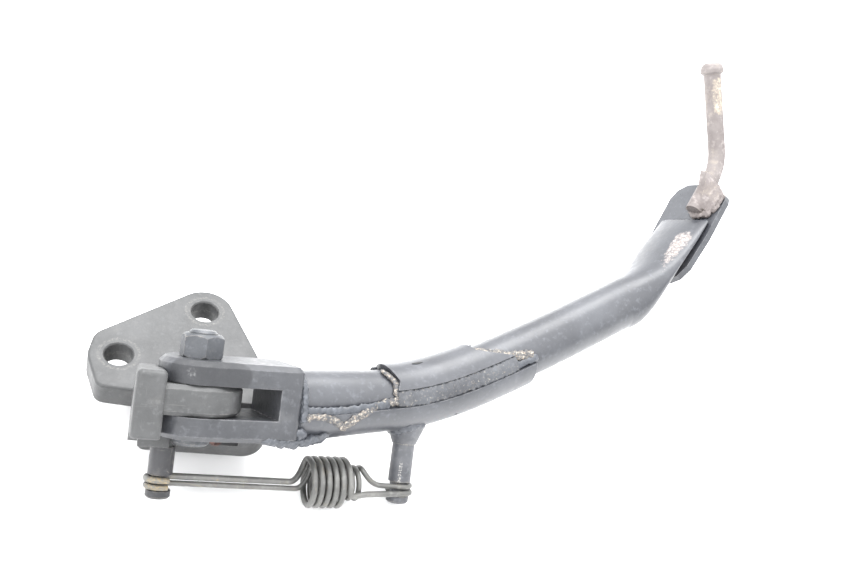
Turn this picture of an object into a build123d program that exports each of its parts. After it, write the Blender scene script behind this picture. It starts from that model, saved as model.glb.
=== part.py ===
from build123d import *
import math
import os

"""Motorcycle side stand: a bolt-on bracket, a forked tubular leg with a foot plate and peg, and a
pair of nested return springs.  Millimetres.  The origin is the centre of the first bolt hole at
the back face of the mounting plate, and +Z is the plate's outward normal.

Pieces are modelled about the pivot's centre, half way through the bracket's tongue:
  row frame    x, y in the mounting plate's plane, z its normal
  pivot frame  x as in the row frame, z the pivot axis; the near side is -y
  leg frame    the pivot frame turned about z so that x runs along the leg
Cutters reach well clear of the solid wherever they have no face of their own to leave.
"""

# ---------------------------------------------------------------- driving dimensions
PIVOT_LEAN = 43.1          # lean of the pivot axis from +Z towards +Y, degrees
LEG_REST = 14.0            # angle of the leg about the pivot axis at rest, degrees
SWING = 90.0               # travel of the leg from rest, degrees

# mounting plate, row frame
PLATE_FRONT = -21.9
PLATE_T = 10.0
PLATE_BACK = PLATE_FRONT - PLATE_T
BOLT_HOLE_R = 5.5
HOLE_1 = (-28.4, 35.8)
HOLE_2 = (3.8, 63.7)

# tongue and column of the bracket, pivot frame
TONGUE_T = 11.0
TONGUE_R = 15.0
TONGUE_X = 1.3             # centre of the round nose
COLUMN_X0, COLUMN_X1 = -21.5, -11.0
COLUMN_Y0, COLUMN_Y1 = -17.0, 4.0
COLUMN_BOTTOM, COLUMN_TOP = -14.0, 9.9

# fork, leg frame
FORK_HALF_H = 14.1
FORK_HALF_W = 14.3
SLOT_HALF = 5.7
SLOT_END, FORK_END = 26.9, 36.0
STOP_X, STOP_Y = -8.2, 2.0  # extent of the stop corner on the ears

# pivot fastener and bush
BOLT_R = 5.0
BUSH_OR = 7.0
NUT_AF = 14.0
NUT_H = 8.6
NUT_TOP = FORK_HALF_H + NUT_H
HEAD_R, HEAD_H = 6.6, 3.2
HEAD_CLEAR = 0.7           # gap round the bolt head
RING_R = 6.1               # groove for the lock ring in the nut
RING_Z0, RING_Z1 = NUT_TOP - 2.4, NUT_TOP - 0.7

# leg tubes and half shells
TUBE_R = 11.1
TUBE_WALL = 2.3
TUBE_JOINT_X = 97.0
SHELL_IR, SHELL_OR = 11.2, 13.5

# foot plate and peg
FOOT_X, FOOT_Z = 220.9, 80.8  # a point of the plate's inner face in the leg's xz plane
FOOT_ANGLE = 61.9             # slope of the plate in that plane, degrees
FOOT_T = 3.2
PEG_R = 4.0
PEG_Y = -4.0

# spring pins
PIN_R = 4.5
GROOVE_R = 3.3
BRACKET_PIN_R, BRACKET_PIN_ANGLE = 10.91, 145.4  # place about the pivot, pivot frame
LEG_PIN_X = 87.9                                 # on the leg frame's x axis
SHELF_BOTTOM, SHELF_TOP = -19.5, -14.6           # shelf that holds the bracket's pin
PIN_HOLE_R = 3.0

ON_BASE = (Align.CENTER, Align.CENTER, Align.MIN)


# ---------------------------------------------------------------- helpers
def polar(radius, degrees):
    angle = math.radians(degrees)
    return radius * math.cos(angle), radius * math.sin(angle)


def cyl(radius, z0, z1, x=0, y=0):
    return Pos(x, y, z0) * Cylinder(radius, z1 - z0, align=ON_BASE)


def cone(bottom_r, top_r, height, z, x=0, y=0):
    return Pos(x, y, z) * Cone(bottom_r, top_r, height, align=ON_BASE)


def box(x0, x1, y0, y1, z0, z1):
    return Pos((x0 + x1) / 2, (y0 + y1) / 2, (z0 + z1) / 2) * Box(x1 - x0, y1 - y0, z1 - z0)


def solid_of(shape):
    """The single largest solid of a result."""
    return sorted(shape.solids(), key=lambda solid: solid.volume)[-1]


def soften(shape, edges, size, operation=fillet):
    """Fillet or chamfer edges, stepping the size down where the full one cannot be made."""
    for factor in (1.0, 0.7, 0.45, 0.25):
        # guards against a size that the kernel cannot build; the next smaller one is tried
        try:
            result = solid_of(operation(edges, size * factor))
            if result.is_valid and result.volume > 0:
                return result
        except Exception:
            continue
    return shape


def prism(plane, points, length):
    """Straight prism of a polygon drawn on plane, length along the plane's normal."""
    outline = plane * Polygon(*points, align=None)
    return solid_of(extrude(outline, length, dir=tuple(plane.z_dir)))


def hull_face(circles):
    """Hull of circles given as (x, y, radius)."""
    return make_hull([(Pos(x, y) * Circle(radius)).edges()[0] for x, y, radius in circles])


def save(shape, name):
    """Move a piece from the pivot's centre to the bolt hole's origin and write it."""
    piece = FROM_PIVOT * solid_of(shape)
    piece.label = name
    export_step(piece, "parts/%s.step" % name)


# ---------------------------------------------------------------- frames
FROM_PIVOT = Location((-HOLE_1[0], -HOLE_1[1], -PLATE_BACK))
LEAN_Y, LEAN_Z = math.sin(math.radians(PIVOT_LEAN)), math.cos(math.radians(PIVOT_LEAN))
PIVOT = Plane(origin=(0, 0, 0), x_dir=(1, 0, 0), z_dir=(0, LEAN_Y, LEAN_Z)).location
LEG = PIVOT * Rot(0, 0, LEG_REST)
BRACKET_PIN_X, BRACKET_PIN_Y = polar(BRACKET_PIN_R, BRACKET_PIN_ANGLE)

# ================================================================ mount bracket
# circles (x, y, radius) whose hulls make the plate's outline, row frame
PLATE_HULL_A = [(-28.4, 35.8, 11.6), (-31.5, 42.0, 7.6), (3.8, 63.7, 12.0),
                (16.5, 38.0, 10.3), (-31.6, 23.6, 4.6), (-16.0, 24.0, 6.0)]
PLATE_HULL_B = [(20.4, 8.2, 9.8), (16.5, 38.0, 10.3), (-15.2, 0.8, 2.4), (-15.2, 26.0, 2.4)]
# rib side outline (y, z), pivot frame
RIB_OUTLINE = [(2.0, COLUMN_TOP - 2.2), (5.0, COLUMN_TOP - 2.2), (30.0, -3.0), (34.0, -8.0),
               (24.0, -22.0), (14.0, -17.0), (4.0, COLUMN_BOTTOM - 0.2), (2.0, COLUMN_BOTTOM)]
RIB_X1 = -16.2
SHELF_X0 = -18.2
SHELF_ROOT_X1, SHELF_ROOT_Y1 = -8.0, 21.0  # wide part of the shelf behind the pin
SHELF_R = 5.6
EAR_CLEAR = 0.7        # gap round the fork's round ears
STOP_CLEAR = 0.4       # gap to the fork's side at the end of the swing
HOLE_CHAMFER = 0.6


def mounting_plate():
    plate = extrude(hull_face(PLATE_HULL_A) + hull_face(PLATE_HULL_B), PLATE_T)
    plate = solid_of(Pos(0, 0, PLATE_BACK) * plate)
    return soften(plate, plate.faces().sort_by(Axis.Z)[-1].edges(), 1.1)


def bracket_column():
    column = box(COLUMN_X0, COLUMN_X1, COLUMN_Y0, COLUMN_Y1, COLUMN_BOTTOM, COLUMN_TOP)
    column = soften(column, column.edges().filter_by(Axis.Z).group_by(Axis.Y)[0], 2.2)
    column = soften(column, column.faces().sort_by(Axis.Z)[-1].edges(), 1.9)
    bottom = column.faces().sort_by(Axis.Z)[0]
    column = soften(column, bottom.edges().group_by(Axis.Y)[0], 1.2)
    # hollowed round the ears' swing and stepped back behind their stop corner
    column -= cyl(FORK_HALF_W + EAR_CLEAR, -60, 60)
    column -= box(COLUMN_X1 - 3.4, COLUMN_X1 + 5, 0.0, 20, -30, 30)
    # flank that the fork's side meets at the end of the swing
    column -= Rot(0, 0, LEG_REST - SWING) * \
        box(-2.0, 40.0, -(FORK_HALF_W + STOP_CLEAR), 30.0, -60, 60)
    return column


def bracket_tongue():
    half = TONGUE_T / 2
    tongue = cyl(TONGUE_R, -half, half, TONGUE_X) + \
        box(-20.0, TONGUE_X, -TONGUE_R, TONGUE_R, -half, half)
    tongue = solid_of(tongue)
    nose = [edge for edge in tongue.edges() if edge.geom_type == GeomType.CIRCLE]
    return soften(tongue, nose, 1.6, chamfer)


def pin_shelf():
    """Shelf under the lower ear, with the hole for the bracket's spring pin."""
    x, y = BRACKET_PIN_X, BRACKET_PIN_Y
    shelf = box(SHELF_X0, x, y - SHELF_R, y + SHELF_R, SHELF_BOTTOM, SHELF_TOP) + \
        cyl(SHELF_R, SHELF_BOTTOM, SHELF_TOP, x, y) + \
        box(SHELF_X0, SHELF_ROOT_X1, y, SHELF_ROOT_Y1, SHELF_BOTTOM, SHELF_TOP)
    shelf -= cyl(HEAD_R + HEAD_CLEAR, -30, -10)
    shelf -= cyl(PIN_HOLE_R, -30, -10, x, y)
    return shelf


def mount_bracket():
    rib_plane = Plane(origin=(COLUMN_X0, 0, 0), x_dir=(0, 1, 0), z_dir=(1, 0, 0))
    rib = prism(rib_plane, RIB_OUTLINE, RIB_X1 - COLUMN_X0)
    standing = bracket_column() + rib + bracket_tongue() + pin_shelf()
    # room in the plate for the fork to swing, down to the shelf's top, and for the bolt head
    plate = PIVOT.inverse() * mounting_plate()
    plate -= box(-16.1, 62, -60, 27.0, SHELF_TOP, 60)
    plate -= cyl(HEAD_R + HEAD_CLEAR, -40, -10)
    bracket = standing + plate
    bracket -= cyl(BUSH_OR, -9, 9)
    bracket = PIVOT * bracket
    # nothing may stand out behind the mounting face
    bracket -= box(-80, 80, -60, 120, PLATE_BACK - 60, PLATE_BACK)
    for x, y in (HOLE_1, HOLE_2):
        bracket -= cyl(BOLT_HOLE_R, PLATE_BACK - 1, PLATE_FRONT + 30, x, y)
        bracket -= cone(BOLT_HOLE_R, BOLT_HOLE_R + HOLE_CHAMFER, HOLE_CHAMFER,
                        PLATE_FRONT + 0.001 - HOLE_CHAMFER, x, y)
    # round relief in the near edge under the pivot
    bracket -= cyl(5.4, PLATE_FRONT - 4.0, PLATE_FRONT + 9.0, 14.4, 1.6)
    return bracket


def spring_pin(x, y, z_top, spigot_r, spigot_h):
    """Pin with a spigot on top, a plain shank, a groove for two spring eyes and a round cap."""
    profile = [  # (radius, z)
        (0, z_top + spigot_h), (spigot_r, z_top + spigot_h), (spigot_r, z_top), (PIN_R, z_top),
        (PIN_R, -29.9), (GROOVE_R + 0.4, -29.9), (GROOVE_R, -30.3), (GROOVE_R, -35.0),
        (GROOVE_R + 0.4, -35.4), (PIN_R - 0.3, -35.4), (PIN_R, -35.7), (PIN_R, -37.8),
        (PIN_R - 0.7, -38.5), (0, -38.5)]
    face = Plane.XZ * Polygon(*profile, align=None)
    return Pos(x, y, 0) * solid_of(revolve(face, Axis.Z))


# ================================================================ bush, bolt, nut and ring
def pivot_bush():
    half = TONGUE_T / 2 + 0.1
    return cyl(BUSH_OR - 0.005, -half, half) - cyl(BOLT_R + 0.06, -9, 9)


def pivot_bolt():
    head_bottom = -FORK_HALF_H - HEAD_H
    shank = solid_of(cyl(BOLT_R, -FORK_HALF_H - 0.001, NUT_TOP + 1.3))
    shank = soften(shank, shank.edges().group_by(Axis.Z)[-1], 0.8, chamfer)
    head = solid_of(cyl(HEAD_R, head_bottom, -FORK_HALF_H))
    head = soften(head, head.edges().group_by(Axis.Z)[0], 0.9, chamfer)
    socket = RegularPolygon(3.0, 6, major_radius=False)
    head -= extrude(Pos(0, 0, head_bottom - 0.1) * socket, 2.6)
    return shank + head


def pivot_nut():
    bevel_top, bevel_bottom = 1.4, 0.9
    hexagon = Rot(0, 0, 38) * RegularPolygon(NUT_AF / 2, 6, major_radius=False)
    nut = extrude(Pos(0, 0, FORK_HALF_H) * hexagon, NUT_H)
    nut = nut & (cyl(20, FORK_HALF_H, NUT_TOP - bevel_top) +
                 cone(8.15, 6.3, bevel_top, NUT_TOP - bevel_top))
    nut = nut & (cyl(20, FORK_HALF_H + bevel_bottom, FORK_HALF_H + 40) +
                 cone(7.3, 8.2, bevel_bottom, FORK_HALF_H))
    nut -= cyl(BOLT_R + 0.005, 0, 60)
    nut -= cyl(RING_R, RING_Z0, RING_Z1)
    return nut


def nut_lock_ring():
    return cyl(RING_R - 0.005, RING_Z0, RING_Z1) - cyl(BOLT_R + 0.005, 0, 60)


# ================================================================ fork
def clevis_fork():
    w, h = FORK_HALF_W, FORK_HALF_H
    fork = box(0, FORK_END, -w, w, -h, h) + cyl(w, -h, h)
    # stop corner on the far side of both ears
    fork += box(STOP_X, 0, STOP_Y, w, -h, h)
    fork = solid_of(fork)
    fork = soften(fork, fork.edges().filter_by(Axis.Z).group_by(Axis.X)[-1], 3.2)
    fork = soften(fork, fork.faces().sort_by(Axis.Z)[-1].edges(), 1.8, chamfer)
    fork = soften(fork, fork.faces().sort_by(Axis.Z)[0].edges(), 1.8, chamfer)
    fork -= box(-30, SLOT_END, -30, 30, -SLOT_HALF, SLOT_HALF)
    fork -= cyl(BOLT_R + 0.02, -40, 40)
    return solid_of(fork)


# ================================================================ leg centre line and sections
# centre line of the leg tubes (x, z)
LEG_POINTS = [(36.0, 0.7), (54.0, 1.75), (71.9, 2.9), (85.9, 4.9), (98.9, 8.4), (110.9, 12.7),
              (125.4, 19.0), (152.8, 31.9), (177.9, 44.6), (189.9, 50.8)]
leg_line = Spline(*[Vector(x, 0, z) for x, z in LEG_POINTS],
                  tangents=[(1, 0, 0.05), (0.89, 0, 0.455)])


def param_at(x):
    """Parameter of the centre line where it reaches x, by bisection."""
    low, high = 0.0, 1.0
    for _ in range(50):
        middle = (low + high) / 2
        if (leg_line @ middle).X < x:
            low = middle
        else:
            high = middle
    return (low + high) / 2


def points_between(start, end, count):
    return [leg_line @ (start + (end - start) * i / (count - 1)) for i in range(count)]


def part_of_line(start, end, count=9):
    """The stretch of the centre line between two parameters."""
    return Spline(*points_between(start, end, count), tangents=[leg_line % start, leg_line % end])


def sweep_section(path, section):
    """Sweep a section whose x is the leg's y and whose y points to the leg's +z side."""
    start = Plane(origin=path @ 0, x_dir=(0, 1, 0), z_dir=path % 0)
    return solid_of(sweep(start * section, path=path))


def tube_section():
    return Circle(TUBE_R) - Circle(TUBE_R - TUBE_WALL)


def sector(outer_r, inner_r, start, end):
    """Annular sector between two angles in degrees."""
    middle = (start + end) / 2
    outer_0, outer_mid, outer_1 = [polar(outer_r, a) for a in (start, middle, end)]
    inner_0, inner_mid, inner_1 = [polar(inner_r, a) for a in (start, middle, end)]
    return make_face([ThreePointArc(outer_0, outer_mid, outer_1), Line(outer_1, inner_1),
                      ThreePointArc(inner_1, inner_mid, inner_0), Line(inner_0, outer_0)])


def side_cutter(points):
    """Prism of an (x, z) outline right across the leg."""
    side = Plane(origin=(0, 40, 0), x_dir=(1, 0, 0), z_dir=(0, -1, 0))
    return prism(side, points, 80)


def upper_leg_tube(fork):
    path = part_of_line(0.0, param_at(TUBE_JOINT_X))
    return solid_of(sweep_section(path, tube_section()) - fork)


# ================================================================ foot plate
# directions in the leg's xz plane: along the plate towards its tip, and its inner normal
ALONG_X, ALONG_Z = polar(1, FOOT_ANGLE)
ALONG = Vector(ALONG_X, 0, ALONG_Z)
# outline (along the plate, y)
FOOT_OUTLINE = [(-17.1, -6.0), (-17.1, 19.0), (-13.0, 19.9), (7.2, 21.1), (29.8, 21.7),
                (35.0, 19.6), (38.2, 14.5), (38.3, 4.0), (35.5, -5.0), (31.2, -14.0),
                (28.5, -15.2), (8.1, -15.6), (-8.8, -14.0), (-14.5, -11.0)]


def foot_point(along, y, height):
    """Point in the leg frame from its place on the plate and height over the inner face."""
    return Vector(FOOT_X + ALONG_X * along - ALONG_Z * height, y,
                  FOOT_Z + ALONG_Z * along + ALONG_X * height)


def foot_plate():
    foot = Pos(0, 0, -FOOT_T) * prism(Plane.XY, FOOT_OUTLINE, FOOT_T)
    foot = soften(foot, foot.edges().filter_by(Axis.Z).group_by(Axis.X)[-1], 3.0)
    foot = soften(foot, foot.faces().sort_by(Axis.Z)[-1].edges(), 0.7)
    foot = soften(foot, foot.faces().sort_by(Axis.Z)[0].edges(), 0.9)
    frame = Plane(origin=foot_point(0, 0, 0), x_dir=(ALONG_X, 0, ALONG_Z),
                  z_dir=(-ALONG_Z, 0, ALONG_X))
    return frame.location * foot


# ================================================================ lower tube, flattened end
# ovals over the plate: (along, y, height) on the plate, slope, half width, half thickness
FLAT_OVALS = [((-19.0, -0.8, 6.4), 52.0, 14.6, 6.0),
              ((0.0, 0.4, 3.8), 61.0, 15.8, 3.6),
              ((15.0, 1.2, 1.6), 62.0, 15.2, 1.45)]


def oval(centre, slope, half_w, half_t):
    """Ellipse across a line that climbs at slope degrees in the leg's xz plane."""
    normal_x, normal_z = polar(1, slope)
    plane = Plane(origin=centre, x_dir=(0, 1, 0), z_dir=(normal_x, 0, normal_z))
    return plane * Ellipse(half_w, half_t)


def lower_leg_tube(foot):
    path = part_of_line(param_at(TUBE_JOINT_X) + 0.0006, 1.0, 11)
    tube = sweep_section(path, tube_section())
    end_dir = leg_line % 1
    end_slope = math.degrees(math.atan2(end_dir.Z, end_dir.X))
    ovals = [oval(leg_line @ 1, end_slope, TUBE_R, TUBE_R),
             oval(Vector(201.2, -0.5, 59.3), 38.0, 13.0, 9.0)]
    ovals += [oval(foot_point(*place), slope, half_w, half_t)
              for place, slope, half_w, half_t in FLAT_OVALS]
    flat = solid_of(loft(ovals)) - foot
    return solid_of(tube + flat - foot)


# ================================================================ half shells
# cutter outlines (x, z)
UPPER_SHELL_END = [(102.0, 38.0), (112.5, 26.0), (129.9, 25.5), (142.0, 27.0), (142.0, 60.0),
                   (102.0, 60.0)]
UPPER_SHELL_START = [(60, 30), (77.0, 30), (73.0, 17.5), (76.8, 11.5), (74.6, 5.0), (60, 0)]
LOWER_SHELL_END = [(138.4, 30), (143.9, 5), (162, 5), (162, 40)]
# first points (x, z) of the lower shell's own path, before it joins the centre line
LOWER_SHELL_POINTS = [(36.3, -1.6), (47.0, -0.6), (60.0, 1.2), (73.0, 2.95)]


def upper_half_shell():
    path = part_of_line(param_at(72.4), param_at(131.9))
    shell = sweep_section(path, sector(SHELL_OR, SHELL_IR, 20, 160))
    # oblique end, long along both seams and short over the crown; then the scalloped start
    for outline in (UPPER_SHELL_END, UPPER_SHELL_START):
        shell = solid_of(shell - side_cutter(outline))
    return shell


def lower_shell_path():
    start, end = param_at(82.0), param_at(140.9)
    points = [Vector(x, 0, z) for x, z in LOWER_SHELL_POINTS] + points_between(start, end, 8)
    return Spline(*points, tangents=[(1, 0, 0.07), leg_line % end])


def lower_half_shell(path, upper_tube, lower_tube):
    shell = sweep_section(path, sector(SHELL_OR, SHELL_IR, -170, -10))
    shell = solid_of(shell - upper_tube - lower_tube)
    return solid_of(shell - side_cutter(LOWER_SHELL_END))


def leg_spring_pin(path, shell):
    """Grooved pin with a conical flange, trimmed to the outside of the lower shell."""
    pin = spring_pin(LEG_PIN_X, 0, z_top=-12.5, spigot_r=PIN_R, spigot_h=4.0)
    pin = solid_of(pin + cone(4.9, 8.0, 8.0, -14.5, LEG_PIN_X) - shell)
    return solid_of(pin - sweep_section(path, sector(SHELL_OR - 0.01, 4.0, -170, -10)))


# ================================================================ foot peg
PEG_TOP = Vector(227.6, PEG_Y, 164.8)
PEG_KNEE = Vector(236.3, PEG_Y, 131.0)   # where the bend ends and the upright starts
PEG_HEIGHT = PEG_R + 0.02                # of the rod's centre over the plate
PEG_START, PEG_BEND = 19.5, 34.0         # along the plate
# head profile (radius, distance along the rod)
PEG_HEAD = [(0, 0), (PEG_R - 0.8, 0), (PEG_R + 1.2, 1.6), (PEG_R + 1.3, 3.2), (PEG_R + 0.7, 5.0),
            (PEG_R - 0.6, 6.2), (0, 6.2)]
# sections of the flare beside the rod: along the plate, then (y, height) points
FLARE = [(21.0, [(-4.0, 0.0), (-12.6, 0.0), (-12.3, 0.9), (-9.0, 2.4), (-7.2, 5.4), (-4.0, 6.6)]),
         (30.5, [(-4.0, 0.0), (-14.4, 0.0), (-14.2, 1.5), (-10.6, 4.2), (-7.9, 8.2),
                 (-4.0, 9.0)]),
         (37.0, [(-4.0, 4.0), (-7.0, 4.0), (-8.0, 6.5), (-7.9, 9.0), (-7.2, 11.5),
                 (-4.0, 12.0)])]


def across_foot(origin):
    return Plane(origin=origin, x_dir=(0, 1, 0), z_dir=(ALONG_X, 0, ALONG_Z))


def foot_peg():
    start = foot_point(PEG_START, PEG_Y, PEG_HEIGHT)
    bend = foot_point(PEG_BEND, PEG_Y, PEG_HEIGHT)
    up = (PEG_TOP - PEG_KNEE).normalized()
    path = Wire([Line(start, bend),
                 Bezier(bend, bend + ALONG * 7.0, PEG_KNEE - up * 6.5, PEG_KNEE),
                 Line(PEG_KNEE, PEG_TOP)])
    peg = solid_of(sweep(across_foot(start) * Circle(PEG_R), path=path))
    tip = Plane(origin=PEG_TOP - up * 1.0, x_dir=(0, 1, 0), z_dir=(up.X, up.Y, up.Z)).location
    head = revolve(Plane.XZ * Polygon(*PEG_HEAD, align=None), Axis.Z)
    peg = solid_of(peg + tip * solid_of(head))
    # flare that joins the rod to the near side of the plate
    sections = [across_foot(foot_point(along, 0, 0.02)) * Polygon(*points, align=None)
                for along, points in FLARE]
    return solid_of(peg + solid_of(loft(sections, ruled=True)))


# ================================================================ springs
# spring frame: origin on the bracket pin's axis, x towards the leg pin
leg_pin_x, leg_pin_y = polar(LEG_PIN_X, LEG_REST)
PIN_SPAN = math.hypot(leg_pin_x - BRACKET_PIN_X, leg_pin_y - BRACKET_PIN_Y)
PIN_LINE = math.degrees(math.atan2(leg_pin_y - BRACKET_PIN_Y, leg_pin_x - BRACKET_PIN_X))
SPRINGS = PIVOT * Pos(BRACKET_PIN_X, BRACKET_PIN_Y, 0) * Rot(0, 0, PIN_LINE)
SPRING_Z = -31.3       # axis of both coils
EYE_CLEAR = 0.12       # gap between the wire and the pin's groove
EYE_OPEN = 300         # angle of the open end at the bracket pin, degrees
EYE_WRAP = 210         # how far the eye goes round the leg pin, degrees
HOOK_START, HOOK_END = 7.0, 8.5  # x gap between each straight hook and the coil
HOOK_PULL = 5.0        # Bezier handle length at the hooks


def spring(coil_x0, coil_x1, mean_r, turns, wire_r, z_start, z_end, extra_turns, y_leave):
    """Coil with a long hook and an open eye at each pin.

    z_start and z_end are the hooks' levels at the bracket and leg pins.  The coil goes on by
    extra_turns past coil_x1, and the hook to the leg pin starts at y_leave.
    """
    eye_r = GROOVE_R + wire_r + EYE_CLEAR
    pitch = (coil_x1 - coil_x0) / turns
    coil_frame = Plane(origin=(coil_x0, 0, SPRING_Z), x_dir=(0, 0, 1), z_dir=(1, 0, 0)).location
    coil = coil_frame * Helix(pitch=pitch, height=pitch * (turns + extra_turns), radius=mean_r)

    def on_eye(pin_x, degrees, z):
        x, y = polar(eye_r, degrees)
        return Vector(pin_x + x, y, z)

    # eye round the bracket pin, straight hook, rise to the top of the first turn
    hook = Vector(coil_x0 - HOOK_START, 0, z_start)
    angle = math.degrees(math.acos(eye_r / hook.X))
    touch = on_eye(0, angle, z_start)
    start_eye = ThreePointArc(on_eye(0, EYE_OPEN, z_start),
                              on_eye(0, (EYE_OPEN + angle) / 2, z_start), touch)
    start_hook = Line(touch, hook)
    coil_start = coil @ 0
    rise = Bezier(hook, hook + (hook - touch).normalized() * HOOK_PULL,
                  coil_start - coil % 0 * 0.6 * mean_r, coil_start)

    # leave the coil, change to the hook's level, straight to the eye round the leg pin
    coil_end = coil @ 1
    hook = Vector(coil_end.X + HOOK_END, y_leave, z_end)
    from_pin = Vector(hook.X - PIN_SPAN, hook.Y, 0)
    bearing = math.degrees(math.atan2(from_pin.Y, from_pin.X)) % 360
    angle = bearing + math.degrees(math.acos(eye_r / from_pin.length))
    touch = on_eye(PIN_SPAN, angle, z_end)
    drop = Bezier(coil_end, coil_end + coil % 1 * 4.0,
                  hook - (touch - hook).normalized() * HOOK_PULL, hook)
    end_hook = Line(hook, touch)
    end_eye = ThreePointArc(touch, on_eye(PIN_SPAN, angle + EYE_WRAP / 2, z_end),
                            on_eye(PIN_SPAN, angle + EYE_WRAP, z_end))
    path = Wire([start_eye, start_hook, rise, coil, drop, end_hook, end_eye])
    section = Plane(origin=start_eye @ 0, z_dir=start_eye % 0) * Circle(wire_r)
    return solid_of(sweep(section, path=path))


# ================================================================ build and write
os.makedirs("parts", exist_ok=True)

save(mount_bracket(), "mount_bracket")
bracket_pin = spring_pin(BRACKET_PIN_X, BRACKET_PIN_Y, z_top=SHELF_BOTTOM,
                         spigot_r=PIN_HOLE_R - 0.02, spigot_h=4.4)
save(PIVOT * bracket_pin, "bracket_spring_pin")
save(PIVOT * solid_of(pivot_bush()), "pivot_bush")
save(PIVOT * solid_of(pivot_bolt()), "pivot_bolt")
save(PIVOT * solid_of(pivot_nut()), "pivot_nut")
save(PIVOT * solid_of(nut_lock_ring()), "nut_lock_ring")

fork = clevis_fork()
upper_tube = upper_leg_tube(fork)
foot = foot_plate()
lower_tube = lower_leg_tube(foot)
shell_path = lower_shell_path()
lower_shell = lower_half_shell(shell_path, upper_tube, lower_tube)
save(LEG * fork, "clevis_fork")
save(LEG * upper_tube, "upper_leg_tube")
save(LEG * foot, "foot_plate")
save(LEG * lower_tube, "lower_leg_tube")
save(LEG * upper_half_shell(), "upper_half_shell")
save(LEG * lower_shell, "lower_half_shell")
save(LEG * leg_spring_pin(shell_path, lower_shell), "leg_spring_pin")
save(LEG * foot_peg(), "foot_peg")

outer = spring(coil_x0=56.0, coil_x1=70.6, mean_r=8.9, turns=5.0, wire_r=1.2,
               z_start=-31.55, z_end=-34.1, extra_turns=0.27, y_leave=-7.2)
inner = spring(coil_x0=58.6, coil_x1=77.9, mean_r=6.0, turns=7.0, wire_r=1.05,
               z_start=-34.15, z_end=-31.5, extra_turns=0.0, y_leave=-2.6)
save(SPRINGS * outer, "outer_spring")
save(SPRINGS * inner, "inner_spring")
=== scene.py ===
"""Side stand: a cast mounting bracket, a clevis fork on a pivot bolt, and a bent tube leg with
half shells, foot plate, foot peg and two springs. The CAD pieces get materials, and the leg gets
weld beads and two small dark blobs of painted shade that stand for a slot and a pin-hole.

Row frame: metres, +Z up; the camera stands on the -Y side, so "near" is -Y and "far" is +Y.
Pivot frame: mm from the pivot's centre, the row frame tilted by LEAN about X; z is the pivot axis.
Leg frame: mm, the pivot frame turned by REST about z, as (along the leg, across to the far side,
height along the pivot axis).
"""
import bpy
import bmesh
import math
from mathutils import Vector, Matrix, noise


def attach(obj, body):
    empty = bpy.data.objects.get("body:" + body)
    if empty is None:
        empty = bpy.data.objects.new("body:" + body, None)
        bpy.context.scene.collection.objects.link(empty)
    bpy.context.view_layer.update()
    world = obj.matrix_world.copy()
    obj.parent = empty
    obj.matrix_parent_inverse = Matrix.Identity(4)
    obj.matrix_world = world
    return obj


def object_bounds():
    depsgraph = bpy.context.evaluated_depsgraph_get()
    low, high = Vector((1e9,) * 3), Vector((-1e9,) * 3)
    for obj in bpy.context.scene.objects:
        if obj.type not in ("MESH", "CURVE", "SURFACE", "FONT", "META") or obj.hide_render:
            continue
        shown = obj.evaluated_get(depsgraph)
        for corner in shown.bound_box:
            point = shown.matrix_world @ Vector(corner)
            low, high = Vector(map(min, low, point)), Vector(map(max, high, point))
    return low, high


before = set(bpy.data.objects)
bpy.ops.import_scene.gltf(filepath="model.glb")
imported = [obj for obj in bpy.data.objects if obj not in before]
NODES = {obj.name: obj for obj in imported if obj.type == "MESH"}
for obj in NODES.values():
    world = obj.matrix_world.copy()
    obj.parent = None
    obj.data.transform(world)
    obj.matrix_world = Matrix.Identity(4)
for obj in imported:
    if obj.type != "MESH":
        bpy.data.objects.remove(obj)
CAD_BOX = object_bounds()

# ------------------------------------------------------------------ frames
LEAN = math.radians(43.1)
REST = math.radians(14.0)
PIVOT_AT = Vector((28.4, -35.8, 31.9))      # pivot centre in the row frame, mm


def tilt(x, y, z):
    """Direction in the pivot frame, turned into the row frame."""
    sin_lean, cos_lean = math.sin(LEAN), math.cos(LEAN)
    return Vector((x, y * cos_lean + z * sin_lean, -y * sin_lean + z * cos_lean))


def from_pivot(x, y, z):
    """Pivot frame (mm) to row frame (m)."""
    return (tilt(x, y, z) + PIVOT_AT) / 1000.0


def from_leg(along, across, height):
    """Leg frame (mm) to row frame (m)."""
    return from_pivot(along * math.cos(REST) - across * math.sin(REST),
                      along * math.sin(REST) + across * math.cos(REST), height)


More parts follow.
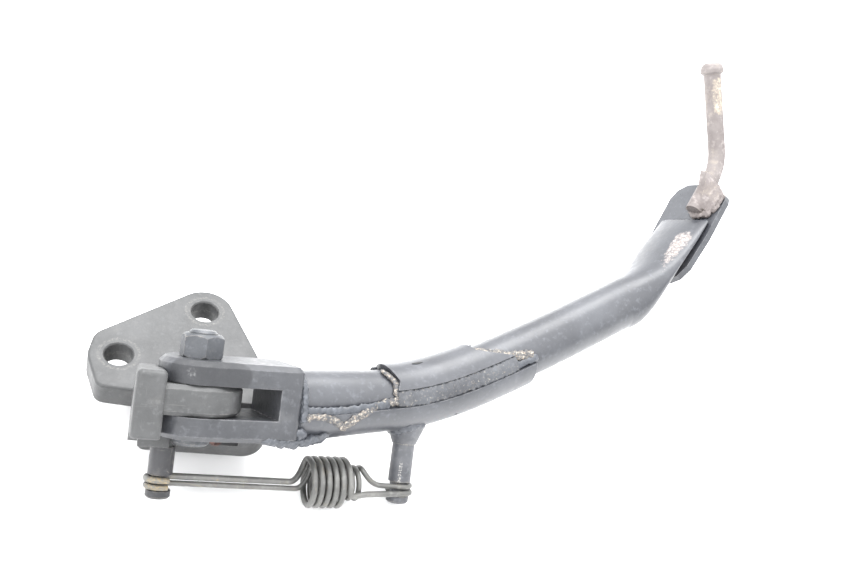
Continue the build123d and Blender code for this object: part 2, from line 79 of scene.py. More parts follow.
# ------------------------------------------------------------------ node graphs
class Graph:
    """Node tree of a material or world, with one shader and one texture coordinate."""

    def __init__(self, owner, output, shader, coordinates):
        owner.use_nodes = True
        self.owner = owner
        self.tree = owner.node_tree
        self.tree.nodes.clear()
        end = self.add(output)
        self.shader = self.add(shader)
        self.feed(end.inputs[0], self.shader.outputs[0])
        self.coords = self.add("ShaderNodeTexCoord").outputs[coordinates]

    def feed(self, socket, value):
        """Link a socket's value, or set a plain one."""
        if isinstance(value, bpy.types.NodeSocket):
            self.tree.links.new(value, socket)
        else:
            socket.default_value = value

    def add(self, kind, inputs=None, **settings):
        node = self.tree.nodes.new(kind)
        for key, value in settings.items():
            setattr(node, key, value)
        for key, value in (inputs or {}).items():
            self.feed(node.inputs[key], value)
        return node

    def noise(self, scale, detail=4.0, rough=0.55, coords=None):
        inputs = {"Scale": scale, "Detail": detail, "Roughness": rough,
                  "Vector": coords or self.coords}
        return self.add("ShaderNodeTexNoise", inputs).outputs["Fac"]

    def ramp(self, value, span, to=(0.0, 1.0)):
        """Smooth step from to[0] at span[0] to to[1] at span[1]."""
        inputs = {"From Min": span[0], "From Max": span[1],
                  "To Min": to[0], "To Max": to[1], "Value": value}
        node = self.add("ShaderNodeMapRange", inputs, interpolation_type="SMOOTHSTEP")
        return node.outputs["Result"]

    def math(self, operation, a, b, clamp=False):
        return self.add("ShaderNodeMath", {0: a, 1: b},
                        operation=operation, use_clamp=clamp).outputs[0]

    def times(self, a, b):
        return self.math("MULTIPLY", a, b)

    def vector(self, operation, a, b=None):
        """Vector maths; operations that measure return their number."""
        inputs = {0: a}
        if b is not None:
            inputs["Scale" if operation == "SCALE" else 1] = b
        node = self.add("ShaderNodeVectorMath", inputs, operation=operation)
        measures = operation in ("DOT_PRODUCT", "LENGTH", "DISTANCE")
        return node.outputs["Value" if measures else "Vector"]

    def mix(self, factor, a, b):
        """Colour mix; a and b are RGB tuples or sockets."""
        a, b = ((*c, 1.0) if isinstance(c, tuple) else c for c in (a, b))
        # sockets 6 and 7 are the colour inputs, 2 the colour output
        return self.add("ShaderNodeMix", {"Factor": factor, 6: a, 7: b},
                        data_type="RGBA").outputs[2]

    def bevel(self, radius):
        return self.add("ShaderNodeBevel", {"Radius": radius}, samples=4).outputs[0]

    def edges(self, radius):
        """Mask of convex and concave edges within radius."""
        rounded = self.bevel(radius)
        normal = self.add("ShaderNodeNewGeometry").outputs["Normal"]
        turned = self.math("SUBTRACT", 1.0, self.vector("DOT_PRODUCT", rounded, normal))
        return self.ramp(turned, span=(0.02, 0.16))

    def bump(self, height, distance, normal):
        inputs = {"Strength": 1.0, "Distance": distance, "Height": height, "Normal": normal}
        return self.add("ShaderNodeBump", inputs).outputs[0]


def new_material(name):
    return Graph(bpy.data.materials.new(name),
                 "ShaderNodeOutputMaterial", "ShaderNodeBsdfPrincipled", "Object")


# ------------------------------------------------------------------ masks (row frame, metres)
def near_point(centre, radius, core):
    """Mask: 1 within core * radius of a point, 0 beyond radius."""
    def mask(g):
        distance = g.vector("LENGTH", g.vector("SUBTRACT", g.coords, centre))
        return g.ramp(distance, span=(radius * core, radius), to=(1.0, 0.0))
    return mask


def near_line(start, end, radius, core):
    """Mask: 1 within core * radius of the line from start to end, 0 beyond radius."""
    def mask(g):
        line = end - start
        offset = g.vector("SUBTRACT", g.coords, start)
        share = g.vector("DOT_PRODUCT", offset, line / line.length_squared)
        share = g.math("MINIMUM", g.math("MAXIMUM", share, 0.0), 1.0)
        nearest = g.vector("SCALE", line, share)
        distance = g.vector("LENGTH", g.vector("SUBTRACT", offset, nearest))
        return g.ramp(distance, span=(radius * core, radius), to=(1.0, 0.0))
    return mask


def round_hole(centre, inner=0.0061, outer=0.0110):
    """Mask: a soft ring between two radii round a point."""
    def mask(g):
        distance = g.vector("DISTANCE", g.coords, centre)
        rise = g.ramp(distance, span=(inner, inner + 0.0012))
        fall = g.ramp(distance, span=(outer - 0.003, outer), to=(1.0, 0.0))
        return g.times(rise, fall)
    return mask


def everywhere(g):
    return 1.0


# ------------------------------------------------------------------ old paint
def add_patch(g, surface, *, mask, col, scale, span, amount, col2=None, height=0.0003):
    """Lay a broken patch over surface = (colour, normal, roughness): crust, rust and wear, and on
    the fork one patch of painted shade.

    scale is its grain, span the noise range over which it appears, height its relief.
    """
    colour, normal, roughness = surface
    area_mask = mask(g)
    weighted = g.times(area_mask, 0.75)
    broken = g.math("ADD", weighted, g.times(g.noise(scale, detail=6, rough=0.7), 0.55))
    cover = g.times(g.ramp(broken, span), amount)
    cover = g.times(cover, g.ramp(area_mask, span=(0.0, 0.15)))
    if col2:
        col = g.mix(g.ramp(g.noise(scale * 1.7), span=(0.4, 0.6)), col, col2)
    colour = g.mix(cover, colour, col)
    relief = g.times(cover, g.noise(scale * 2.5, detail=5, rough=0.7))
    normal = g.bump(relief, height, normal)
    roughness = g.math("ADD", roughness, g.times(cover, 0.25), clamp=True)
    return colour, normal, roughness


# scale and rotation of the two directions of fine scratches
SCRATCHES = (((2200, 60, 400), (0.3, 0.5, 0.4)),
             ((80, 1900, 300), (0.1, 0.7, -0.6)))


def painted(name, base, light, *, rough=0.5, grain=(900, 0.00006), lump=None,
            edge_radius=0.0006, edge_col=(0.30, 0.30, 0.31), edge_amount=0.5,
            dust=(0.42, 0.40, 0.36), dust_amount=0.15, scratch=0.25,
            metallic=0.0, coat=0.0, patches=()):
    """Old paint over steel: mottled from base to light, with dust, scratches and worn edges.

    grain and lump are (noise scale, relief in m); patches are add_patch arguments.
    """
    g = new_material(name)
    broad = g.noise(scale=55, detail=5, rough=0.6)
    fine = g.noise(scale=420, rough=0.6)
    colour = g.mix(g.ramp(broad, span=(0.32, 0.72)), base, light)
    speckle = g.times(g.ramp(fine, span=(0.50, 0.78)), 0.45)
    colour = g.mix(speckle, colour, tuple(min(1, c * 1.9 + 0.01) for c in light))
    dusty = g.ramp(g.noise(scale=130, detail=7, rough=0.68), span=(0.52, 0.74))
    colour = g.mix(g.times(dusty, dust_amount), colour, dust)
    roughness = g.ramp(fine, span=(0.2, 0.8), to=(rough - 0.09, rough + 0.12))
    if scratch:
        for k, (stretch, turn) in enumerate(SCRATCHES):
            mapping = g.add("ShaderNodeMapping",
                            {"Scale": stretch, "Rotation": turn, "Vector": g.coords})
            streaks = g.noise(scale=1.0, detail=2, rough=0.5, coords=mapping.outputs[0])
            lines = g.ramp(streaks, span=(0.66, 0.74))
            where = g.ramp(g.noise(scale=38 + 9 * k, detail=3), span=(0.48, 0.66))
            colour = g.mix(g.times(lines, g.times(where, scratch)), colour, edge_col)
    edges = g.edges(edge_radius)
    worn = g.times(g.ramp(g.noise(scale=260), span=(0.36, 0.62)), edge_amount)
    colour = g.mix(g.times(edges, worn), colour, edge_col)

    grain_scale, grain_height = grain
    relief = g.times(g.noise(grain_scale, detail=5, rough=0.65), 1.0)
    normal = g.bump(relief, grain_height, g.bevel(edge_radius * 0.9))
    if lump:
        lump_scale, lump_height = lump
        normal = g.bump(g.noise(lump_scale, rough=0.6), lump_height, normal)
    surface = colour, normal, roughness
    for patch in patches:
        surface = add_patch(g, surface, **patch)

    for socket, value in zip(("Base Color", "Normal", "Roughness"), surface):
        g.feed(g.shader.inputs[socket], value)
    g.shader.inputs["Metallic"].default_value = metallic
    if coat:
        g.shader.inputs["Coat Weight"].default_value = coat
        g.shader.inputs["Coat Roughness"].default_value = 0.25
    return g.owner


# ------------------------------------------------------------------ materials
BRACKET_HOLES = (Vector((0, 0, 0.010)), Vector((0.0322, 0.0279, 0.010)))

mat_bracket = painted(
    "cast_paint", (0.034, 0.035, 0.0355), (0.056, 0.057, 0.058), rough=0.48,
    grain=(700, 0.00009), lump=(190, 0.00020), edge_radius=0.0007,
    edge_col=(0.32, 0.31, 0.30), edge_amount=0.45, dust_amount=0.04, scratch=0.06,
    patches=[*(dict(mask=round_hole(hole), col=(0.26, 0.25, 0.23), scale=1100,
                    span=(0.98, 1.16), amount=0.45, height=0.00004) for hole in BRACKET_HOLES),
             dict(mask=near_point(Vector((0.0389, -0.0358, 0.0079)), radius=0.006, core=0.3),
                  col=(0.17, 0.055, 0.035), col2=(0.07, 0.035, 0.03), scale=500,
                  span=(0.80, 1.00), amount=0.8)])
mat_leg = painted(
    "leg_paint", (0.036, 0.038, 0.044), (0.055, 0.058, 0.066), rough=0.36,
    grain=(500, 0.00003), lump=(70, 0.00014), edge_amount=0.45, dust_amount=0.015,
    scratch=0.06, coat=0.22,
    patches=[dict(mask=near_line(from_leg(218.0, -8.8, 85), from_leg(207.0, -10.3, 66.5),
                                 radius=0.0100, core=0.30),
                  col=(0.40, 0.355, 0.33), col2=(0.20, 0.175, 0.165), scale=600,
                  span=(0.90, 1.06), amount=0.85, height=0.0001)])
mat_fork = painted(
    "fork_paint", (0.027, 0.0285, 0.0325), (0.050, 0.052, 0.058), rough=0.42,
    grain=(600, 0.00006), lump=(150, 0.00018), edge_radius=0.0007, dust_amount=0.03,
    scratch=0.10,
    # painted shade: a smooth near-black patch without relief over the rounded near end of the
    # upper ear, by the pivot
    patches=[dict(mask=near_line(from_leg(-9, -11, 9.5), from_leg(9, -14.3, 9.5),
                                 radius=0.0078, core=0.55),
                  col=(0.012, 0.0125, 0.0145), scale=90, span=(0.50, 0.95), amount=0.62,
                  height=0.0),
             dict(mask=near_point(from_leg(-7, -14.0, 10), radius=0.0075, core=0.2),
                  col=(0.20, 0.20, 0.20), col2=(0.05, 0.05, 0.055), scale=620,
                  span=(0.94, 1.14), amount=0.5, height=0.0002)])
mat_bolt = painted(
    "zinc_steel", (0.048, 0.052, 0.058), (0.088, 0.092, 0.100), rough=0.42,
    grain=(900, 0.00005), edge_radius=0.0005, edge_col=(0.42, 0.38, 0.33), edge_amount=0.6,
    dust_amount=0.08, scratch=0.12, metallic=0.3)
mat_nut = painted(
    "nut_steel", (0.034, 0.037, 0.042), (0.066, 0.070, 0.078), rough=0.46,
    edge_radius=0.0005, edge_col=(0.40, 0.36, 0.31), edge_amount=0.6, dust_amount=0.08,
    scratch=0.10, metallic=0.15)
mat_pin = painted(
    "pin_paint", (0.013, 0.013, 0.0145), (0.030, 0.030, 0.033), rough=0.42,
    grain=(800, 0.00006), edge_radius=0.0004, edge_col=(0.48, 0.44, 0.36), edge_amount=0.6,
    dust_amount=0.08, scratch=0.15, metallic=0.1)
mat_leg_pin = painted(
    "leg_pin_paint", (0.040, 0.042, 0.048), (0.085, 0.088, 0.096), rough=0.42,
    grain=(800, 0.00006), edge_radius=0.0004, edge_col=(0.48, 0.44, 0.36), edge_amount=0.6,
    scratch=0.1,
    patches=[dict(mask=near_line(from_leg(85.5, -4.0, -22), from_leg(85.5, -4.0, -33),
                                 radius=0.0019, core=0.3),
                  col=(0.62, 0.60, 0.56), scale=1400, span=(1.00, 1.12), amount=0.6,
                  height=0.00003)])
mat_spring = painted(
    "spring_steel", (0.085, 0.085, 0.082), (0.135, 0.134, 0.127), rough=0.40,
    grain=(900, 0.00004), edge_radius=0.0002, edge_col=(0.50, 0.40, 0.20), edge_amount=0.2,
    dust=(0.30, 0.25, 0.15), dust_amount=0.18, scratch=0.2, metallic=0.35,
    patches=[dict(mask=near_line(from_pivot(-9.7, 1.0, -34), from_pivot(12, 6, -33),
                                 radius=0.009, core=0.5),
                  col=(0.34, 0.25, 0.11), scale=900, span=(0.97, 1.12), amount=0.55,
                  height=0.00003)])
mat_peg = painted(
    "peg_rusty", (0.125, 0.108, 0.104), (0.215, 0.195, 0.188), rough=0.62,
    grain=(700, 0.00012), lump=(260, 0.0003), edge_radius=0.0004,
    edge_col=(0.50, 0.44, 0.34), dust=(0.46, 0.40, 0.31), dust_amount=0.25, scratch=0.1,
    metallic=0.25,
    patches=[dict(mask=near_line(from_leg(227.5, -9, 160), from_leg(230.5, -9, 149),
                                 radius=0.0085, core=0.25),
                  col=(0.52, 0.47, 0.37), col2=(0.34, 0.29, 0.24), scale=420,
                  span=(0.93, 1.10), amount=0.75)])
mat_weld = painted(
    "weld_paint", (0.034, 0.038, 0.046), (0.060, 0.065, 0.076), rough=0.36,
    grain=(800, 0.00008), lump=(330, 0.00030), edge_radius=0.0004, edge_amount=0.25,
    dust_amount=0.10, scratch=0.0, coat=0.15)
mat_crust = painted(
    "weld_crust", (0.040, 0.042, 0.047), (0.085, 0.083, 0.082), rough=0.55,
    grain=(900, 0.00016), lump=(420, 0.00035), edge_radius=0.0004, edge_amount=0.2,
    dust_amount=0.2, scratch=0.0,
    patches=[dict(mask=everywhere, col=(0.50, 0.465, 0.40), col2=(0.27, 0.21, 0.165),
                  scale=850, span=(1.00, 1.10), amount=0.82, height=0.0002)])
mat_seam = painted(
    "weld_seam", (0.036, 0.038, 0.044), (0.062, 0.066, 0.074), rough=0.42,
    grain=(800, 0.00010), lump=(330, 0.00030), edge_radius=0.0004, edge_amount=0.2,
    dust_amount=0.1, scratch=0.0, coat=0.1,
    patches=[dict(mask=everywhere, col=(0.36, 0.34, 0.30), col2=(0.19, 0.16, 0.13),
                  scale=850, span=(1.05, 1.14), amount=0.75, height=0.00015)])
# painted shade: near-black paint for the flat blobs that stand for the shade inside a slot and a
# pin-hole
mat_painted_recess_shade = painted("painted_recess_shade", (0.012, 0.012, 0.013), (0.02, 0.02, 0.021), rough=0.6,
                   edge_amount=0.0, dust_amount=0.03, scratch=0.0)
mat_nylon = painted("nylon", (0.10, 0.11, 0.14), (0.16, 0.17, 0.2),
                    edge_amount=0.2, dust_amount=0.2)
mat_bronze = painted("bronze", (0.36, 0.25, 0.11), (0.5, 0.36, 0.17), rough=0.35,
                     metallic=0.9, edge_amount=0.3, dust_amount=0.1)

PIECE_MATERIALS = {
    "mount_bracket": mat_bracket, "bracket_spring_pin": mat_pin,
    "leg_spring_pin": mat_leg_pin, "pivot_bush": mat_bronze, "clevis_fork": mat_fork,
    "pivot_bolt": mat_bolt, "pivot_nut": mat_nut, "nut_lock_ring": mat_nylon,
    "upper_leg_tube": mat_leg, "lower_leg_tube": mat_leg,
    "upper_half_shell": mat_leg, "lower_half_shell": mat_leg,
    "foot_plate": mat_leg, "foot_peg": mat_peg,
    "outer_spring": mat_spring, "inner_spring": mat_spring,
}
for piece, material in PIECE_MATERIALS.items():
    for slot in NODES[piece].material_slots:
        slot.link = "OBJECT"
        slot.material = material

# ------------------------------------------------------------------ leg tube's centre line
# (along the leg, height), mm
TUBE = [(36.0, 0.7), (54.0, 1.75), (71.9, 2.9), (85.9, 4.9), (98.9, 8.4), (110.9, 12.7),
        (125.4, 19.0), (152.8, 31.9), (177.9, 44.6), (189.9, 50.8)]


def tube_height(along):
    """Height of the tube's centre line, by Catmull-Rom through TUBE."""
    k = sum(1 for station in TUBE if station[0] <= along) - 1
    p = [TUBE[max(0, min(len(TUBE) - 1, k + step))] for step in (-1, 0, 1, 2)]
    span = p[2][0] - p[1][0]
    t = (along - p[1][0]) / span
    rise_in = (p[2][1] - p[0][1]) / (p[2][0] - p[0][0]) * span
    rise_out = (p[3][1] - p[1][1]) / (p[3][0] - p[1][0]) * span
    t2, t3 = t * t, t * t * t
    return ((2 * t3 - 3 * t2 + 1) * p[1][1] + (t3 - 2 * t2 + t) * rise_in
            + (-2 * t3 + 3 * t2) * p[2][1] + (t3 - t2) * rise_out)


def on_tube(along, degrees, radius):
    """Leg-frame point off the centre line; 180 degrees is the near side, 90 the top."""
    slope = tube_height(along + 0.5) - tube_height(along - 0.5)
    length = math.hypot(1, slope)
    angle = math.radians(degrees)
    lift = radius * math.sin(angle)
    return (along - lift * slope / length, radius * math.cos(angle),
            tube_height(along) + lift / length)


def tube_run(stations, radius=11.9, far=False):
    """Points at (along, degrees) stations, mirrored to the far side if asked."""
    return [on_tube(along, 180 - degrees if far else degrees, radius)
            for along, degrees in stations]


def out_of_tube(p):
    """Direction away from the tube's centre line at a leg-frame point."""
    return (0.0, p.y, p.z - tube_height(p.x))


# ------------------------------------------------------------------ mesh helpers
def skin(bm, rows, closed=False):
    """Quads between neighbouring rings of vertices."""
    for i in range(len(rows) if closed else len(rows) - 1):
        this, following = rows[i], rows[(i + 1) % len(rows)]
        for k in range(len(this)):
            after = (k + 1) % len(this)
            bm.faces.new((this[k], this[after], following[after], following[k]))


def add_to_leg(name, bm, material):
    """Turn the mesh into a smooth object that moves with the leg."""
    bmesh.ops.recalc_face_normals(bm, faces=bm.faces)
    for face in bm.faces:
        face.smooth = True
    mesh = bpy.data.meshes.new(name)
    bm.to_mesh(mesh)
    bm.free()
    obj = bpy.data.objects.new(name, mesh)
    mesh.materials.append(material)
    bpy.context.scene.collection.objects.link(obj)
    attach(obj, "leg")


def smooth_path(points, step):
    """Catmull-Rom curve through the points, in pieces about step long."""
    knots = [Vector(point) for point in points]
    last = len(knots) - 1
    path = []
    for i in range(last):
        p0, p1, p2, p3 = (knots[max(0, min(last, i + k))] for k in (-1, 0, 1, 2))
        count = max(1, int(round((p2 - p1).length / step)))
        for j in range(count):
            t = j / count
            path.append(0.5 * ((2 * p1) + (p2 - p0) * t
                               + (2 * p0 - 5 * p1 + 4 * p2 - p3) * t * t
                               + (3 * p1 - p0 - 3 * p2 + p3) * t * t * t))
    path.append(knots[-1])
    return path


BEAD_STEP = 0.45        # mm between rings
BEAD_SIDES = 18


def bead(name, points, material, *, size, seed, rough, up=out_of_tube, pitch=1.7,
         end_steps=4, closed=False):
    """Weld bead along leg-frame points: an oval section, rippled every pitch mm and lumped.

    size is (half width, half height along up); the ends round off over end_steps rings.
    """
    half_width, half_height = size
    path = smooth_path(points, BEAD_STEP)
    if closed:
        path = path[:-1]
    count = len(path)
    bm = bmesh.new()
    rings = []
    run = 0.0
    for i, p in enumerate(path):
        if i:
            run += (p - path[i - 1]).length
        before = path[i - 1] if (closed or i > 0) else p
        after = path[(i + 1) % count] if (closed or i < count - 1) else p
        tangent = (after - before).normalized()
        lift = Vector(up(p) if callable(up) else up)
        lift = (lift - tangent * lift.dot(tangent)).normalized()
        side = tangent.cross(lift)
        taper = 1.0
        if not closed:
            inset = min(1.0, min(i, count - 1 - i) / end_steps)
            taper = math.sqrt(1 - (1 - inset) ** 2) * 0.96 + 0.04
        ring = []
        for k in range(BEAD_SIDES):
            angle = 2 * math.pi * k / BEAD_SIDES
            cos, sin = math.cos(angle), math.sin(angle)
            # stacked-coin ripple, its phase dragged back at the edges of the bead
            phase = 2 * math.pi * (run + 0.55 * abs(sin) * half_width) / pitch
            ripple = 0.5 + 0.5 * math.cos(phase)
            around = Vector((cos, sin, 0))
            broad = noise.noise(
                Vector((p.x * 0.55 + seed * 7.1, p.y * 0.55, p.z * 0.55)) + around * 0.55)
            fine = noise.noise(
                Vector((p.x * 1.9, p.y * 1.9 + seed * 3.3, p.z * 1.9)) + around * 1.4)
            swell = taper * (0.90 + 0.12 * ripple + rough * 1.4 * broad + rough * 0.7 * fine)
            q = p + lift * (cos * half_height * swell) + side * (sin * half_width * swell)
            ring.append(bm.verts.new(from_leg(q.x, q.y, q.z)))
        rings.append(ring)
    skin(bm, rings, closed)
    if not closed:
        bm.faces.new(list(reversed(rings[0])))
        bm.faces.new(rings[-1])
    add_to_leg(name, bm, material)


# ------------------------------------------------------------------ weld beads on the tube
# ring round the tube where it enters the fork block, fuller underneath
TUBE_START_HEIGHT = TUBE[0][1]
ring_points = []
for degrees in range(0, 361, 15):
    angle = math.radians(degrees)
    low = 0.5 - 0.5 * math.sin(angle)       # 0 at the top, 1 at the bottom
    radius = 11.3 + 1.9 * low
    ring_points.append((36.9 + 0.5 * low, radius * math.cos(angle),
                        TUBE_START_HEIGHT - 1.6 * low + radius * math.sin(angle)))
bead("weld_fork_ring", ring_points, mat_weld, size=(1.7, 1.35), seed=2, rough=0.2,
     up=lambda p: (0, p.y, p.z - TUBE_START_HEIGHT), closed=True)

# Stations on the near side: (along the leg, degrees round the tube).
# Seams between the half shells
SEAM = [(along, 175) for along in (76, 84, 92, 100, 108, 116, 124, 131)]
bead("weld_seam_near", tube_run(SEAM, radius=11.7), mat_seam,
     size=(4.0, 1.75), seed=3, rough=0.15, pitch=2.1)
bead("weld_seam_far", tube_run(SEAM, radius=11.7, far=True), mat_seam,
     size=(4.0, 1.75), seed=4, rough=0.15, pitch=2.1)
# runs over the two ends of the upper shell
START = [(75.6, 170), (76.4, 152), (75.6, 136), (74.0, 120), (73.4, 104)]
bead("weld_start_near", tube_run(START), mat_crust,
     size=(1.3, 0.8), seed=5, rough=0.28, pitch=1.9)
bead("weld_start_far", tube_run(START, far=True), mat_seam,
     size=(1.3, 0.8), seed=6, rough=0.25, pitch=1.9)
END = [(110.5, 97), (114.0, 104), (118.0, 117), (124.0, 140), (129.5, 157), (134.5, 166),
       (139.0, 173)]
bead("weld_end_near", tube_run(END), mat_crust,
     size=(2.0, 1.0), seed=7, rough=0.32, pitch=1.8)
bead("weld_end_far", tube_run(END, far=True), mat_seam,
     size=(1.8, 0.95), seed=8, rough=0.28, pitch=1.8)
LIP = [(along, 181) for along in (126, 131, 136, 140.5)]
bead("weld_lip_near", tube_run(LIP, radius=12.0), mat_weld, size=(1.7, 1.0), seed=9, rough=0.2)

# the lower shell's edge along the tube, and the run that climbs to the seam
bead("weld_low_edge",
     [(37.5, -11.9, -2.4), (46.0, -12.2, -1.9), (55.0, -12.2, -1.0), (64.0, -12.1, 0.4),
      (73.0, -11.9, 1.9)],
     mat_weld, size=(2.1, 1.1), seed=20, rough=0.24, pitch=2.2)
bead("weld_low_near",
     [(38.0, -12.5, -4.4), (43.9, -12.8, -3.7), (48.4, -12.9, -4.2), (51.6, -12.4, -5.8),
      (54.8, -11.2, -8.0)],
     mat_crust, size=(1.5, 0.8), seed=10, rough=0.30, pitch=2.0)
bead("weld_low_rise",
     [(53.6, -11.0, -8.2), (57.2, -12.3, -4.9), (60.8, -12.7, -2.3), (66.0, -12.3, 0.4),
      (71.0, -11.8, 2.4), (77.5, -11.6, 4.1)],
     mat_crust, size=(1.9, 0.95), seed=11, rough=0.32, pitch=1.9)
bead("weld_low_far",
     [(38.0, 11.6, -3.0), (46.0, 12.3, -2.4), (54.5, 12.3, -1.4), (62.0, 12.2, 0.2),
      (69.0, 11.8, 2.2), (76.0, 11.6, 3.9)],
     mat_weld, size=(1.5, 1.0), seed=12, rough=0.25, pitch=2.0)

# heavy runs under and beside the fork block
bead("weld_under",
     [(35.4, -13.0, -8.4), (36.6, -11.4, -11.6), (37.0, -7.0, -14.2), (37.2, 0.0, -15.0),
      (37.0, 7.0, -14.2), (36.6, 11.4, -11.6), (35.4, 13.0, -8.4)],
     mat_weld, size=(2.9, 1.9), seed=13, rough=0.34, up=(0.3, 0, -1), pitch=2.6, end_steps=7)
bead("weld_under_near",
     [(21.5, -12.6, -12.9), (25.0, -12.2, -13.6), (30.0, -11.8, -13.9),
      (35.5, -11.2, -13.9), (40.5, -9.8, -13.3), (46.0, -8.6, -12.2), (50.0, -8.6, -10.8)],
     mat_weld, size=(2.6, 1.7), seed=21, rough=0.36, up=(0, -0.5, -0.87), pitch=3.0,
     end_steps=9)
bead("weld_fork_side",
     [(36.3, -11.6, 8.6), (37.0, -12.4, 4.0), (37.2, -12.9, -1.0), (37.0, -13.0, -6.0)],
     mat_weld, size=(1.6, 1.1), seed=22, rough=0.34, up=(0.5, -0.85, 0), pitch=2.0)

# fillet round the leg's spring pin, on the underside of the shell
PIN_ALONG = 87.9
FILLET_RADIUS = 6.6
SHELL_RADIUS = 13.5
fillet_points = []
for degrees in range(0, 361, 20):
    angle = math.radians(degrees)
    along = PIN_ALONG + FILLET_RADIUS * math.cos(angle)
    across = FILLET_RADIUS * math.sin(angle)
    underside = tube_height(along) - math.sqrt(SHELL_RADIUS ** 2 - across ** 2)
    fillet_points.append((along, across, underside - 0.2))
bead("weld_spring_pin", fillet_points, mat_weld, size=(2.0, 1.5), seed=14, rough=0.30,
     up=lambda p: (p.x - PIN_ALONG, p.y, -3.5), pitch=1.9, closed=True)

# ------------------------------------------------------------------ weld beads on the foot
FOOT_SLOPE = math.radians(61.9)
FOOT_AT = (220.9, 80.8)         # plate's origin: along the leg, height
FOOT_UP = (-math.sin(FOOT_SLOPE), 0.0, math.cos(FOOT_SLOPE))    # plate's normal


def foot_run(stations):
    """Leg-frame points from (up the plate, across, off it along its normal)."""
    cos, sin = math.cos(FOOT_SLOPE), math.sin(FOOT_SLOPE)
    return [(FOOT_AT[0] + cos * up - sin * off, across, FOOT_AT[1] + sin * up + cos * off)
            for up, across, off in stations]


FOOT_TIP = [(15.2, across, 1.0) for across in (-13.0, -8.0, -3.0, 2.0, 7.0, 12.0, 15.5)]
bead("weld_foot_tip", foot_run(FOOT_TIP), mat_weld,
     size=(1.2, 0.8), seed=15, rough=0.18, up=FOOT_UP, pitch=2.4)
bead("weld_foot_far",
     foot_run([(14.5, 15.6, 0.9), (8.0, 15.9, 1.0), (0.0, 16.0, 1.2), (-7.0, 15.9, 1.7),
               (-14.0, 15.4, 2.2)]),
     mat_weld, size=(1.3, 0.9), seed=16, rough=0.2, up=FOOT_UP, pitch=2.0)
bead("weld_peg_end",
     foot_run([(27.0, 1.0, 1.2), (22.0, 0.6, 1.3), (19.4, -1.6, 1.6), (18.8, -5.0, 1.6),
               (19.4, -8.5, 1.4), (20.6, -12.0, 1.1)]),
     mat_peg, size=(1.9, 1.5), seed=17, rough=0.30, up=FOOT_UP, pitch=1.8)
bead("weld_peg_far",
     foot_run([(27.0, 0.6, 1.4), (31.0, 0.8, 1.4), (35.0, 0.2, 1.6), (37.0, -2.0, 2.2)]),
     mat_peg, size=(1.6, 1.3), seed=18, rough=0.30, up=FOOT_UP, pitch=1.8)
bead("weld_peg_near",
     foot_run([(21.0, -12.2, 0.7), (25.0, -13.2, 0.8), (29.0, -13.6, 1.1),
               (32.0, -11.6, 2.4), (35.0, -9.2, 5.0)]),
     mat_peg, size=(1.2, 1.0), seed=19, rough=0.30, up=FOOT_UP, pitch=2.2)

# ------------------------------------------------------------------ recess marks: dark blobs of painted shade
MARK_BANDS = 10
MARK_SIDES = 24


def lozenge(name, centre, *, along, up, size, seed):
    """Flat dark blob of painted shade on the leg, standing for the shade in a recess; size is its
    half length, half width and half height.
    """
    length, width, height = size
    centre = Vector(centre)
    lift = Vector(up).normalized()
    axis = (Vector(along) - lift * Vector(along).dot(lift)).normalized()
    side = lift.cross(axis)
    bm = bmesh.new()
    rows = []
    for i in range(1, MARK_BANDS):
        polar = math.pi * i / MARK_BANDS
        row = []
        for k in range(MARK_SIDES):
            angle = 2 * math.pi * k / MARK_SIDES
            cos, sin = math.cos(angle), math.sin(angle)
            wobble = 1 + 0.10 * noise.noise(Vector((seed, cos * 1.3, sin * 1.3 + polar)))
            q = (centre + axis * (length * math.sin(polar) * cos * wobble)
                 + side * (width * math.sin(polar) * sin * wobble)
                 + lift * (height * math.cos(polar)))
            row.append(bm.verts.new(from_leg(q.x, q.y, q.z)))
        rows.append(row)
    top = bm.verts.new(from_leg(*(centre + lift * height)))
    bottom = bm.verts.new(from_leg(*(centre - lift * height)))
    skin(bm, rows)
    for k in range(MARK_SIDES):
        after = (k + 1) % MARK_SIDES
        bm.faces.new((top, rows[0][after], rows[0][k]))
        bm.faces.new((bottom, rows[-1][k], rows[-1][after]))
    add_to_leg(name, bm, mat_painted_recess_shade)


# painted shade for a slot in the crown of the upper shell, and for a pin-hole in the lower shell
lozenge("shell_slot_painted_shade", (87.3, -4.2, 18.45), along=(1, 0, 0.25), up=(-0.2, -0.3, 0.93),
        size=(2.6, 0.9, 0.12), seed=1.0)
lozenge("shell_pinhole_painted_shade", (105.9, -8.0, -0.7), along=(1, 0, 0.3), up=(0.2, -0.6, -0.75),
        size=(0.8, 0.6, 0.14), seed=2.0)

# ------------------------------------------------------------------ floor
FLOOR_GAP = 0.0002      # below the lowest piece

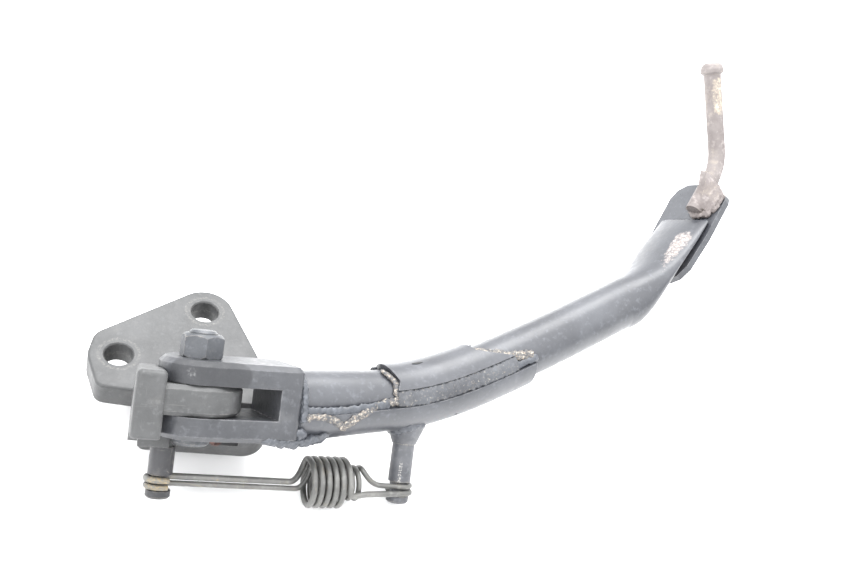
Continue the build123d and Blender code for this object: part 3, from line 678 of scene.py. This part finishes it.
bm = bmesh.new()
bmesh.ops.create_grid(bm, x_segments=8, y_segments=8, size=3.0)
floor_mesh = bpy.data.meshes.new("floor")
bm.to_mesh(floor_mesh)
bm.free()
floor = bpy.data.objects.new("floor", floor_mesh)
floor.location = (0.1, 0.0, Vector(CAD_BOX[0]).z - FLOOR_GAP)
bpy.context.scene.collection.objects.link(floor)
g = new_material("floor_white")
mottle = g.ramp(g.noise(scale=9, detail=6, rough=0.6), span=(0.3, 0.8))
g.feed(g.shader.inputs["Base Color"], g.mix(mottle, (0.80, 0.80, 0.80), (0.88, 0.88, 0.875)))
g.shader.inputs["Roughness"].default_value = 0.6
floor_mesh.materials.append(g.owner)

# ------------------------------------------------------------------ world: brighter overhead
world = bpy.data.worlds.new("studio")
bpy.context.scene.world = world
g = Graph(world, "ShaderNodeOutputWorld", "ShaderNodeBackground", "Generated")
height = g.add("ShaderNodeSeparateXYZ", {0: g.coords}).outputs["Z"]
strength = g.ramp(height, span=(-0.05, 0.95), to=(1.6, 4.2))
g.shader.inputs["Color"].default_value = (0.985, 0.99, 1.0, 1)
g.feed(g.shader.inputs["Strength"], strength)


# ------------------------------------------------------------------ lights
def area(name, *, location, target, size, power):
    light = bpy.data.lights.new(name, "AREA")
    light.shape = "RECTANGLE"
    light.size, light.size_y = size
    light.energy = power
    obj = bpy.data.objects.new(name, light)
    obj.location = location
    aim = Vector(target) - Vector(location)
    obj.rotation_euler = aim.to_track_quat("-Z", "Y").to_euler()
    bpy.context.scene.collection.objects.link(obj)


area("key_top", location=(0.05, 0.45, 0.75), target=(0.06, 0.03, 0), size=(0.8, 0.5), power=9)
area("fill_left", location=(-0.6, -0.4, 0.5), target=(0.05, 0.0, 0), size=(0.4, 0.4), power=2)

# ------------------------------------------------------------------ camera (pivot frame)
CAMERA_AT = (-25.9, -366.9, 49.4)
forward = Vector((0.282, 0.959, 0.0)).normalized()
right = Vector((0.952, -0.280, 0.122))
right = (right - forward * right.dot(forward)).normalized()
up = right.cross(forward)

camera_data = bpy.data.cameras.new("cam")
camera_data.sensor_width = 36.0
camera_data.lens = 41.860465
camera_data.clip_start = 0.01
camera = bpy.data.objects.new("cam", camera_data)
axes = Matrix((tilt(*right), tilt(*up), -tilt(*forward)))
camera.matrix_world = axes.transposed().to_4x4()
camera.location = from_pivot(*CAMERA_AT)
bpy.context.scene.collection.objects.link(camera)
bpy.context.scene.camera = camera
bpy.context.scene.view_settings.view_transform = "Standard"
